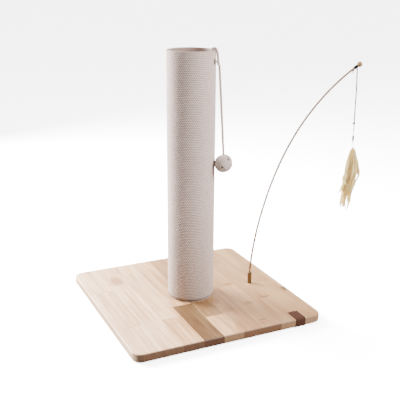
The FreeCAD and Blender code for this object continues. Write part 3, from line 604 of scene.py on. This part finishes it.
def makeHoleLip(v):
    # the hole's edge, brown where board and rope are cut through: a round profile carried along an upright
    # oval that lies on the rope's surface and is slightly pointed
    t = fullTurn(60)
    radius, azimuth, height = v["place"]
    a = math.radians(azimuth) + v["halfWidth"] * np.cos(t) / radius
    z = height + v["halfHeight"] * np.sin(t) * (1 - 0.22 * np.cos(t) ** 2)
    path = np.column_stack([polar(radius, a), z]) * mm
    lip = gridSurface(carry(path, polar(v["lip"] * mm, fullTurn(10)), outward(azimuth), True), closed=True)
    dress(meshPiece("holeLip", [lip]), finishes["cutEdge"], "root")


makeHoleLip(cordValues["hole"])
makeBallCord(cordValues)
makeWallLoop(cordValues)
makeCordKnot(cordValues, cordValues["knot"])
print("stage: ball's cord")


# the ball: three crossing bands of parallel strands over the core

ballValues = {"strand": 2.1, "strands": 5, "pitch": 4.0, "lay": 8.0, "outer": 19.1, "dip": 1.0,
              "filler": 16.6, "turn": ((0.4082, -0.693, 0.5943), 167.07)}


def sphereGrid(radius, rows, cols):
    # points at even latitudes and longitudes, nearly to the poles
    latitude, longitude = np.linspace(-0.495, 0.495, rows) * np.pi, fullTurn(cols)
    across = polar(np.cos(latitude)[:, None], longitude[None])
    up = np.broadcast_to(np.sin(latitude)[:, None, None], (rows, cols, 1))
    return radius * np.concatenate([across, up], -1)


def makeBall(v):
    # each strand is a circle at one latitude about its band's axis; its radius rises and dips twice a turn,
    # so that each band passes over one neighbour and under the other. The next band is the same one with x, y
    # and z changed round
    t = fullTurn(96)
    radius = (v["outer"] - v["dip"] + v["dip"] * np.cos(2 * t)) * mm
    surfaces = []
    for band in range(3):
        for k in range(v["strands"]):
            latitude = (k - (v["strands"] - 1) / 2) * v["pitch"] / v["outer"]
            path = np.column_stack([polar(radius * math.cos(latitude), t), radius * math.sin(latitude)])
            path, axis = np.roll(path, band, 1), np.roll(vec(0, 0, 1), band)
            surfaces.append(laidRope(path, v["strand"] * mm, v["lay"] * mm, axis, sides=9, closed=True))
    surfaces.append(gridSurface(sphereGrid(v["filler"] * mm, 24, 48)))
    placed = [(turned(points, *v["turn"]) + ballPlace, *rest) for points, *rest in surfaces]
    dress(meshPiece("ballWinding", placed), finishes["ballCotton"], "ball", ["ball_winding"])


makeBall(ballValues)
print("stage: ball")


# the rope wound on the tube

# the two gap values are the strengths of painted shade between strands and between turns
wrapValues = {"radius": 1.9, "outside": 54.3, "inside": 50.55, "foot": 21.0, "rim": 592.5, "pitch": 3.8,
              "lay": 12.275, "columns": 336, "rows": 5, "pieces": 3, "strandGapShade": 0.85, "turnGapShade": 0.6}


def makeWoundRope(name, v):
    # the rope's finish where it is wound: painted shade in the lines between turns and between the three laid
    # strands, both from the UV map, which runs along the rope in lays and across it in turns; fibres and
    # uneven colour from the place. Painted shade and warm bounce light from the board make the rope darker
    # and warmer towards the foot, and a painted contact shadow makes it dark where it meets the board
    t = Tree(name)
    at, uv = t.where(), t.uv()
    cloud = t.noise(t.scaled(at, 14, 14, 40), detail=4)
    speck = t.noise(t.scaled(at, 420, 420, 420), detail=3, rough=0.7)
    fibre = t.noise(t.scaled(at, 1500, 1500, 2400), detail=4, rough=0.7)
    across = t.math("FRACT", t.axis(uv, "Y"))
    wobble = t.math("MULTIPLY_ADD", speck, 0.5, -0.25)
    slant = t.math("MULTIPLY_ADD", across, -0.62, t.math("MULTIPLY", t.axis(uv, "X"), 3.0))
    strand = t.math("FRACT", t.math("ADD", slant, wobble))
    # painted shade in the grooves between the laid strands and between the turns
    strandGapShade = t.ramp(t.offMiddle(strand), [(0.2, 0.0), (0.42, 1.0)])
    turnGapShade = t.ramp(t.offMiddle(across), [(0.26, 0.0), (0.46, 1.0)])
    colour = t.mix(cloud, paint(240, 215, 204), paint(252, 234, 225))
    colour = t.mix(t.ramp(speck, [(0.40, 0.5), (0.56, 0.0)]), colour, paint(204, 172, 158))
    colour = t.mix(t.math("MULTIPLY", strandGapShade, v["strandGapShade"]), colour, paint(150, 116, 106))
    colour = t.mix(t.math("MULTIPLY", turnGapShade, v["turnGapShade"]), colour, paint(128, 96, 86))
    height = t.axis(at, "Z")
    # painted shade and warm bounce light from the board: darker and warmer towards the foot
    footShadeAndBounce = t.mix(t.spread(height, 0.02, 0.26, 0.0, 1.0), (0.66, 0.645, 0.60, 1), (1, 1, 1, 1))
    colour = t.mix(1.0, colour, footShadeAndBounce, "MULTIPLY")
    # painted contact shadow where the rope meets the board
    colour = t.mix(t.spread(height, 0.0235, 0.0285, 0.97, 0.0), colour, paint(36, 30, 27))
    return t.finish(Base_Color=colour, Roughness=0.92, Sheen_Weight=0.25, Sheen_Roughness=0.5,
                    Normal=t.bump(fibre, 0.5, 0.0004))


def makeWrap(v):
    # one rope wound as a helix. Height is the turn's place on the helix; distance from the axis is the rope's
    # middle plus the laid strands' outline times the cosine of the angle across the rope. A wall lines it
    material = makeWoundRope("wound_rope", v)
    centre = v["outside"] - v["radius"]
    total = int((v["rim"] - v["foot"]) / v["pitch"] * v["rows"])
    share = np.arange(v["columns"] + 1) / v["columns"]
    a = share * 2 * np.pi
    edges = np.linspace(0, total / v["rows"], v["pieces"] + 1).astype(int) * v["rows"]
    edges[-1] = total
    for k, (first, last) in enumerate(zip(edges[:-1], edges[1:])):
        row = np.arange(first, last + 1)
        level = (row / v["rows"])[:, None]  # height in turns at the start of the circle
        tilt = np.arcsin(((row % v["rows"]) / v["rows"] * 2 - 1)[:, None])  # the angle across the rope
        along = (np.floor(level + 1e-6) + share[None]) * 2 * np.pi * centre / v["lay"]
        radius = centre + v["radius"] * strandRadius(tilt - along * 2 * np.pi) * np.cos(tilt)
        height = np.clip(v["foot"] + v["pitch"] * (level + share[None]), v["foot"], v["rim"])
        points = np.concatenate([polar(radius, a), height[..., None]], -1) * mm
        back = points[[-1, 0]]
        back[..., :2] = polar(v["inside"], a) * mm
        surfaces = [helixSurface(points, along, level), helixSurface(back, along[[-1, 0]], level[[-1, 0]])]
        dress(meshPiece(f"ropeWrap{k + 1}", surfaces), material, "root", ["rope_wrap"])


def helixSurface(points, along, level):
    # rows of a band, its first and last columns one above the other; UV is lays along the rope and turns
    # across it
    rows, cols = points.shape[:2]
    i, j = np.meshgrid(np.arange(rows - 1), np.arange(cols - 1), indexing="ij")
    corners = np.stack([i * cols + j, i * cols + j + 1, (i + 1) * cols + j + 1, (i + 1) * cols + j], -1)
    lays = np.stack([along[i, j], along[i, j + 1], along[i, j + 1], along[i, j]], -1)
    turns = np.stack([level[i, 0], level[i, 0], level[i + 1, 0], level[i + 1, 0]], -1)
    return points.reshape(-1, 3), corners.reshape(-1, 4), np.stack([lays, turns], -1).reshape(-1, 2), []


makeWrap(wrapValues)
print("stage: rope wrap")


# the wand's rod

wandY = -8.6
rodLength = 617
rodValues = {
    "radius": 2.45, "ferruleRadius": 1.74, "ferruleEnd": 30, "foot": (156.0, 27.5), "tip": 612,
    "arcs": [(20, math.inf), (12, 122), (263, 750), (322, 524)],  # length and radius of each
    "lengths": [("rodLower", "rod_lower", 0, 170), ("rodMiddle", "rod_middle", 170, 295),
                ("rodUpper", "rod_upper", 295, 612)],
}


def rodLine(v, at):
    # the lean grows evenly along each arc; the line adds up short steps in the direction of the lean
    step = 0.25
    length, radius = np.array(v["arcs"]).T
    ends, leans = (np.concatenate([[0], np.cumsum(values)]) for values in (length, length / radius))
    s = np.arange(0, rodLength + step, step)
    lean = np.interp(s, ends, leans)
    middle = (lean[1:] + lean[:-1]) / 2
    x = v["foot"][0] + np.concatenate([[0], np.cumsum(np.sin(middle) * step)])
    z = v["foot"][1] + np.concatenate([[0], np.cumsum(np.cos(middle) * step)])
    path = np.stack([np.interp(at, s, x), np.full(len(at), wandY), np.interp(at, s, z)], 1) * mm
    return path, np.interp(at, s, lean)


def makeRod(v):
    # a round profile, slightly uneven along its length as a planed stick is, carried along the rod's line.
    # Where two lengths meet, both end in half a ball about the hinge, so that the rod stays whole as it bends
    cap = np.linspace(0.12, 1.0, 7) * np.pi / 2
    for name, body, start, end in v["lengths"]:
        at = np.linspace(start, end, int((end - start) / 2) + 1)
        share = np.ones(len(at))
        if start > 0:
            at = np.concatenate([start - v["radius"] * np.sin(cap[::-1]), at])
            share = np.concatenate([np.cos(cap[::-1]) + 0.02, share])
        if end < v["tip"]:
            at = np.concatenate([at, end + v["radius"] * np.sin(cap)])
            share = np.concatenate([share, np.cos(cap) + 0.02])
        path, _ = rodLine(v, at)
        s, angle = at[:, None], fullTurn(16)[None]
        uneven = 1 + 0.02 * np.sin(s / 23 + angle) + 0.015 * np.sin(s / 7.1 + 2 * angle)
        radius = np.where(s < v["ferruleEnd"], v["ferruleRadius"], v["radius"] * uneven * share[:, None]) * mm
        piece = meshPiece(name, [gridSurface(carry(path, polar(radius, angle), vec(0, 1, 0)))])
        dress(piece, finishes["rod"], body, [body])


makeRod(rodValues)
print("stage: rod")


# bead and thread at the rod's tip

beadValues = {"radius": 6.8, "bore": 1.55, "flat": 0.09, "dimple": 0.5, "dimpleDepth": 0.2}
windingValues = {"radius": 4.1, "rod": 1.62, "turns": 11, "back": 13.0, "length": 10.0, "tail": 1.4,
                 "knot": 0.55}
stringTop = vec(438.5, wandY, 534.938) * mm


def makeBead(v):
    # a turned bead: a circle's outline with a flat at each end, revolved about the rod's end
    tip, lean = rodLine(rodValues, np.array([rodLength - 1.0, rodLength]))
    along = unit(vec(math.sin(lean[-1]), 0, math.cos(lean[-1])))
    t = np.linspace(v["flat"], np.pi - v["flat"], 40)
    radius = np.concatenate([[v["bore"]], v["radius"] * np.sin(t), [v["dimple"]]]) * mm
    place = np.concatenate([[-np.cos(v["flat"])], -np.cos(t), [np.cos(v["flat"])]]) * v["radius"] * mm
    place[-1] -= v["dimpleDepth"] * mm
    surface = revolved(tip[-1], along, np.cross(vec(0, 1, 0), along), place, radius, 48)
    dress(meshPiece("tipBead", [surface]), finishes["bead"], "rod_upper", ["tip_bead"])


def makeWinding(v):
    # thread wound on the rod: a sleeve whose radius rises over each turn, a knot of two turns, a short tail
    start = rodLength - v["back"] - v["length"] / 2
    path, _ = rodLine(rodValues, start + np.linspace(0, v["length"], 101))
    s, angle = np.linspace(0, 1, len(path))[:, None], fullTurn(24)[None]
    ridge = np.abs(np.sin(np.pi * (s * v["turns"] + angle / 2 / np.pi)))
    swell = np.clip(np.sin(np.pi * s) * 6, 0, 1) ** 0.5
    radius = (v["rod"] + (v["radius"] - v["rod"]) * swell * (0.62 + 0.38 * ridge)) * mm
    sleeve = gridSurface(carry(path, polar(radius, angle), vec(0, 1, 0)))
    t = np.linspace(0, 4 * np.pi, 60)
    coil = np.stack([1.3 * np.cos(t), 1.1 * np.sin(t), 1.2 + (t / 4 / np.pi - 0.5) * 1.6], 1) * mm
    bends = [(0, 0, 0), (-2, -0.5, -4.5), (-5.2, 0, -7.8), (-3.5, 0.5, -10.5), (-4.8, 0, -11.8)]
    tail, _ = evenly(guideLine(path[18] + np.array(bends) * mm), 0.5 * mm)
    surfaces = [sleeve, wire(stringTop + coil, v["knot"] * mm, 8, vec(0, 0, 1)),
                wire(tail, v["tail"] * mm, 8, vec(0, 1, 0))]
    piece = meshPiece("threadWinding", surfaces)
    dress(piece, finishes["thread"], "rod_upper", ["thread_whipping"])


makeBead(beadValues)
makeWinding(windingValues)
print("stage: rod's tip")


# string, knot and leader

lineValues = {
    "string": 1.5, "length": 136.0, "bends": [(0, 0), (0.22, 1.3), (0.42, 2.6), (0.68, 2.3), (1, 2.8)],
    "knotSize": 0.8, "knotWire": 1.1, "knotDrop": 1.8,
    "leader": 0.9, "leaderBends": [(0, 0), (0.4, 10.8), (0.2, 21.6)],
    "coils": [(0.5, 4.5), (0.2, 12.5)], "coilRadius": 1.1, "coilWire": 0.8,
}


def makeLine(v):
    # the string down to its knot, with a slight wave
    route = np.array([stringTop + vec(aside, 0, -v["length"] * down) * mm for down, aside in v["bends"]])
    string, line = splineLine("lineString", route, v["string"] * mm)
    dress(string, finishes["thread"], "line", ["line_string"])
    # the knot winds three times through a small ring and twice round it, and its tail sticks out to the left
    drop = vec(0, 0, -v["knotDrop"]) * mm
    middle = route[-1] + drop
    t = fullTurn(90)
    ring = 2.0 + np.cos(3 * t)
    turns = np.stack([ring * np.cos(2 * t), np.sin(3 * t), ring * np.sin(2 * t)], 1)
    path = middle + v["knotSize"] * mm * turns
    profile = polar(v["knotWire"] * mm, fullTurn(8))
    knot = gridSurface(carry(path, profile, vec(0, 1, 0), True), closed=True)
    tail = np.linspace(middle + vec(-1, 0, 0) * mm, middle + vec(-5.6, 0, 0.3) * mm, 8)
    surfaces = [knot, wire(tail, v["knotWire"] * mm, 8, vec(0, 1, 0))]
    dress(meshPiece("lineKnot", surfaces), finishes["thread"], "line", ["line_knot"])
    # the leader, with two small dark knots that are coils about it
    foot = middle + drop
    run = np.array([foot + vec(aside, 0, -down) * mm for aside, down in v["leaderBends"]])
    leader, _ = splineLine("lineLeader", run, v["leader"] * mm)
    dress(leader, finishes["nylon"], "line", ["line_leader"])
    t = np.linspace(0, 5 * np.pi, 50)
    coil = np.column_stack([polar(v["coilRadius"], t), (t / 5 / np.pi - 0.5) * 2.2]) * mm
    coils = [wire(foot + vec(aside, 0, -down) * mm + coil, v["coilWire"] * mm, 7, vec(0, 0, 1))
             for aside, down in v["coils"]]
    dress(meshPiece("leaderKnots", coils), finishes["thread"], "line")


swivelX = 441.5
sleeveValues = {"radius": 2.5, "foot": 353.4, "length": 12.4}


def makeSleeve(v):
    # a shrunk black sleeve over the swivel's barrel: a round outline, drawn in at both ends, revolved
    share = np.linspace(0, 1, 24)
    radius = v["radius"] * (1 - 0.2 * np.abs(2 * share - 1) ** 6) * mm
    foot = vec(swivelX, wandY, v["foot"]) * mm
    surface = revolved(foot, vec(0, 0, 1), vec(1, 0, 0), v["length"] * share * mm, radius, 24)
    dress(meshPiece("barrelSleeve", [surface]), finishes["black"], "swivel")


makeLine(lineValues)
makeSleeve(sleeveValues)
print("stage: line")


# the raffia tassel

tasselValues = {
    "top": 335.9, "strips": 52, "seed": 7, "fold": 7.0,
    "ends": [  # x and z of each loose end in mm, with the width of its strip
        (404.2, 221.0, 7.4), (406.5, 217.5, 6.0), (410.5, 196.4, 4.6), (417.0, 203.0, 5.4),
        (420.6, 173.9, 5.0), (424.0, 180.0, 5.4), (430.4, 175.5, 4.4), (433.0, 170.0, 5.4),
        (436.2, 165.2, 4.6), (441.0, 192.0, 5.0), (450.2, 182.9, 3.8),
    ],
    "folds": [  # x and z along the strips that bend back on themselves
        [(443, 318), (452, 292), (461, 266), (457, 258), (448, 246), (440, 226)],
        [(443, 322), (450, 300), (458, 270), (452, 262), (446, 240), (442, 222)],
        [(443, 322), (448, 296), (455, 270), (450, 258), (445, 246), (436, 228)],
        [(442, 322), (445, 290), (451, 268), (447, 256), (441, 240), (434, 220)],
        [(441, 300), (425, 276), (415, 258), (421, 250), (434, 244), (436, 222)],
        [(441, 296), (428, 268), (416, 252), (424, 245), (430, 238), (430, 214)],
    ],
}
bindingValues = {"radius": 4.9, "turns": 5, "pitch": 1.1, "middle": 325.9, "thick": 0.35, "wide": 0.75}


def raffiaStrip(path, width, twist, rng):
    # a flat strip with a slight fold along its middle, carried along its path and slowly twisting
    path, at = evenly(path, 4 * mm)
    s = at / at[-1]
    narrow = np.clip(np.minimum(s * 9 + 0.35, (1.02 - s) * 5 + 0.12), 0, 1)
    wide = width * mm * narrow * (1 + 0.16 * np.sin(s * 21 + rng.uniform(0, 6)))
    turn = twist[0] + twist[1] * s + 0.5 * np.sin(s * 7 + twist[0])
    a = fullTurn(8)
    flatX = np.cos(a)[None] * wide[:, None] / 2
    flatY = np.sin(a)[None] * 0.32 * mm + np.abs(flatX) * 0.45
    c, d = np.cos(turn)[:, None], np.sin(turn)[:, None]
    profile = np.stack([flatX * c - flatY * d, flatX * d + flatY * c], -1)
    return gridSurface(carry(path, profile, vec(0.03, 1, 0.02)), (1 / len(a), 4 * mm))


def makeTassel(v):
    # strips leave the head together, swell to a spindle and draw in again; each strip's distance from the
    # axis is its own bulge times a sine of the share of its length, and its ends stray at random
    rng = np.random.default_rng(v["seed"])
    surfaces = []
    t = np.linspace(0, 1, 26)
    top = vec(swivelX + 1.5, wandY, v["top"] - 1.5)
    for k in range(v["strips"]):
        a = k * 2.39996  # each strip a golden angle on from the last one, so that they fill the circle evenly
        depth = math.sqrt((k + 0.5) / v["strips"])
        length = rng.uniform(140, 158) if k % 5 == 2 else rng.uniform(104, 134)
        bulge = (3 + 10.5 * depth) * rng.uniform(0.85, 1.08)
        share = t * length / 156
        swell = np.sin(np.pi * np.clip(share, 0, 1) ** 0.68)
        out = bulge * swell + 2.2 * depth + rng.uniform(-3, 7) * share**2
        lean = -(15 - 7 * math.cos(a)) * share**1.6
        wave = rng.uniform(-2.2, 2.2) * np.sin(2 * np.pi * t * rng.uniform(0.8, 1.6) + rng.uniform(0, 6)) * t
        x = top[0] + out * math.cos(a) + lean + wave
        y = top[1] + 0.8 * out * math.sin(a) + rng.uniform(-2, 2) * t
        z = top[2] - length * t + 0.8 * wave
        path = np.stack([x, y, z], 1) * mm
        surfaces.append(raffiaStrip(path, rng.uniform(3.6, 6.6), (a, rng.uniform(-2.5, 2.5)), rng))
    for x1, z1, width in v["ends"]:
        y1 = wandY + rng.uniform(-7, 7)
        side = np.sign(x1 - 436)
        middle = vec(swivelX - 4 + side * 9, wandY + rng.uniform(-6, 6), 262)
        low = vec(x1 * 0.35 + middle[0] * 0.65, (y1 + middle[1]) / 2, z1 * 0.5 + 121)
        points = np.array([top, vec(swivelX + side * 5, wandY, 315), middle, low, vec(x1, y1, z1)]) * mm
        twist = (rng.uniform(0, 3), rng.uniform(-1.5, 1.5))
        surfaces.append(raffiaStrip(guideLine(points), width, twist, rng))
    for fold in v["folds"]:
        y = wandY - 9 + rng.uniform(-3, 3)
        line = guideLine(np.array([(x, y, z) for x, z in fold]) * mm)
        surfaces.append(raffiaStrip(line, v["fold"], (rng.uniform(-0.3, 0.3), 0.4), rng))
    dress(meshPiece("raffiaTassel", surfaces), raffia, "lure", ["raffia_tassel"])


def makeRaffia(name):
    # dry raffia: long fibres along each strip, straw colour from pale to golden, with light passing through
    t = Tree(name)
    at = t.where()
    cloud = t.noise(t.scaled(at, 160, 160, 26), detail=3)
    fibre = t.noise(t.scaled(at, 1500, 1500, 70), detail=4, rough=0.7)
    colour = t.mix(t.ramp(cloud, [(0.38, 0.0), (0.62, 1.0)]), paint(255, 206, 122), paint(255, 232, 168))
    colour = t.mix(t.ramp(fibre, [(0.5, 0.0), (0.75, 0.5)]), colour, paint(222, 174, 108))
    return t.finish(Base_Color=colour, Roughness=0.6, Sheen_Weight=0.15, Normal=t.bump(fibre, 0.3, 0.0003),
                    Subsurface_Weight=0.45, Subsurface_Radius=(0.004, 0.003, 0.002), Subsurface_Scale=0.5)


def makeBinding(v):
    # raffia wound round the head: a flat strip carried along a helix
    t = np.linspace(0, v["turns"], 200)
    height = v["middle"] + (t - v["turns"] / 2) * v["pitch"]
    path = (vec(swivelX, wandY, 0) + np.column_stack([polar(v["radius"], t * 2 * np.pi), height])) * mm
    a = fullTurn(8)
    profile = np.stack([np.sin(a) * v["thick"], np.cos(a) * v["wide"]], 1) * mm
    piece = meshPiece("tasselBinding", [gridSurface(carry(path, profile, vec(0, 0, 1)))])
    dress(piece, raffia, "lure", ["tassel_binding"])


raffia = makeRaffia("raffia_strips")
makeTassel(tasselValues)
makeBinding(bindingValues)
print("stage: tassel")


# floor, light and world

lightValues = {  # place, what it looks at, side of the square lamp, and its power
    "backLeft": {"place": (-0.85, 1.3, 0.8), "aim": (-0.1, 0, 0.3), "size": 0.9, "power": 190},
    "right": {"place": (1.15, -1.55, 1.7), "aim": (0, 0, 0.5), "size": 1.0, "power": 108},
}
floorValues = {"half": 30, "bounce": 0.22, "shown": 5.0}
worldValues = {"white": 12.0, "ambient": 0.46, "backdrop": 5.2, "towards": (-0.32, 0.85, 0.40),
               "edge": (0.62, 0.97)}


def makeFloor(v):
    # the floor is overexposed, as in the photograph: it is shown far brighter than the light it sends back
    h = v["half"]
    mesh = bpy.data.meshes.new("floor")
    mesh.from_pydata([(-h, -h, 0), (h, -h, 0), (h, h, 0), (-h, h, 0)], [], [(0, 1, 2, 3)])
    t = Tree("floor_white")
    t.nodes.remove(t.shader)
    seen = t.add("ShaderNodeLightPath").outputs["Is Camera Ray"]
    plain, bright = ((v[k],) * 3 + (1,) for k in ("bounce", "shown"))
    shader = t.add("ShaderNodeBsdfDiffuse", Color=t.mix(seen, plain, bright))
    t.links.new(shader.outputs[0], t.nodes["Material Output"].inputs["Surface"])
    mesh.materials.append(t.material)
    makeObject("floor", mesh)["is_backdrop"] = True


def makeLamp(name, v):  # a square area lamp that the camera doesn't see
    data = bpy.data.lights.new(name, "AREA")
    data.shape = "RECTANGLE"
    data.size = data.size_y = v["size"]
    data.energy = v["power"]
    light = makeObject(name, data)
    light.location = v["place"]
    light.rotation_euler = (Vector(v["aim"]) - Vector(v["place"])).to_track_quat("-Z", "Y").to_euler()
    light.visible_camera = False


def makeWorld(v):
    # even light, and a white backdrop low behind the post on the left: the light grows with how far a
    # direction faces it. The camera sees even white, as behind a product photograph
    world = bpy.data.worlds.new("studio")
    world.use_nodes = True
    nodes, links = world.node_tree.nodes, world.node_tree.links
    background = nodes["Background"]
    background.inputs["Color"].default_value = (1, 1, 1, 1)
    facing = nodes.new("ShaderNodeVectorMath")
    facing.operation = "DOT_PRODUCT"
    facing.inputs[1].default_value = Vector(v["towards"]).normalized()
    links.new(nodes.new("ShaderNodeTexCoord").outputs["Generated"], facing.inputs[0])
    glow = nodes.new("ShaderNodeMapRange")
    glow.interpolation_type = "SMOOTHSTEP"
    for socket, number in enumerate((*v["edge"], v["ambient"], v["backdrop"]), 1):
        glow.inputs[socket].default_value = number
    links.new(facing.outputs["Value"], glow.inputs["Value"])
    seen = nodes.new("ShaderNodeMix")
    seen.inputs["B"].default_value = v["white"]
    links.new(nodes.new("ShaderNodeLightPath").outputs["Is Camera Ray"], seen.inputs["Factor"])
    links.new(glow.outputs["Result"], seen.inputs["A"])
    links.new(seen.outputs["Result"], background.inputs["Strength"])
    bpy.context.scene.world = world


makeFloor(floorValues)
for name, v in lightValues.items():
    makeLamp(name, v)
makeWorld(worldValues)
print("stage: studio")

sizes = {"cad": cadBounds, "visual": [list(corner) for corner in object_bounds()]}
